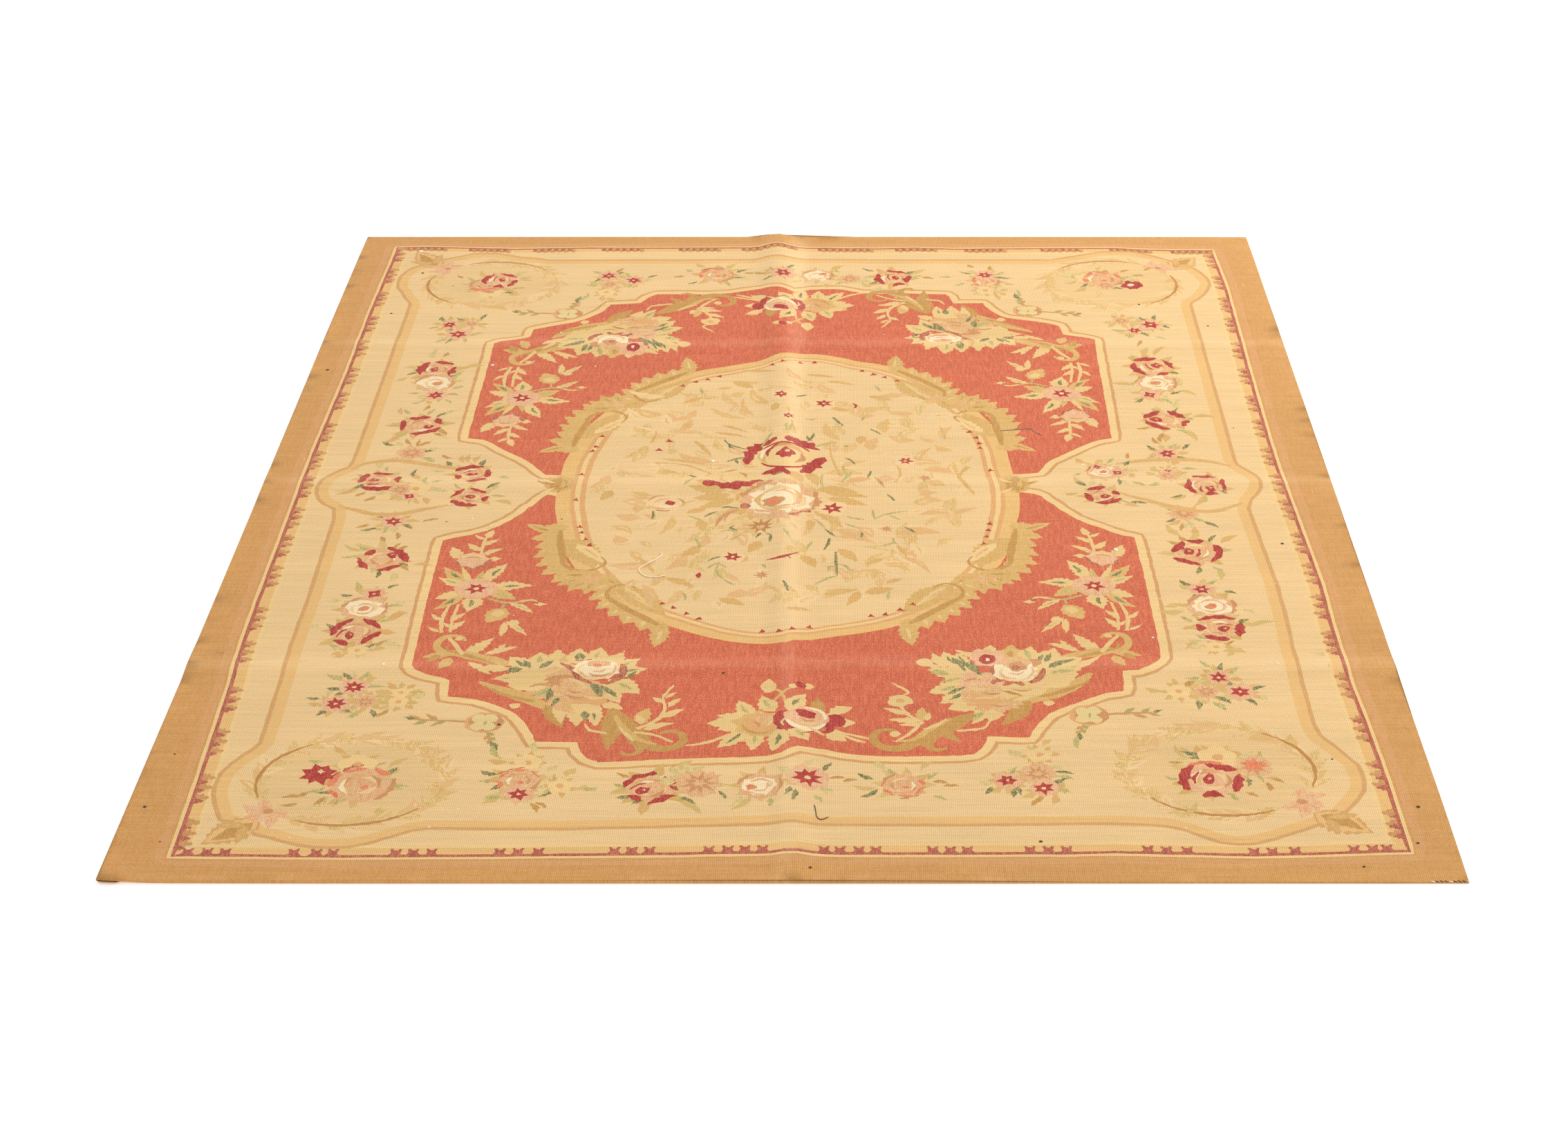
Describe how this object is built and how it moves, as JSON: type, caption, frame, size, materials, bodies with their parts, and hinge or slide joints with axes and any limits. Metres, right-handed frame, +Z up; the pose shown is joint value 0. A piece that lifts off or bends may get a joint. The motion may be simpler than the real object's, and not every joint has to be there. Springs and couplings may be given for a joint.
{
  "type": "aubusson rug",
  "caption": "Flat-woven wool rug with a floral medallion, a red field and cream borders, laid out flat with soft fold ridges.",
  "frame": {"origin": "on the floor, under the centre of the rug", "axes": "+X along the width, +Y along the length away from the near end, +Z up"},
  "size_m": [2.44, 3.05, 0.013],
  "materials": {
    "wool": "matt woven wool, cream and tan with a red field"
  },
  "bodies": {
    "root": {"rug": "wool"}
  },
  "joints": []
}
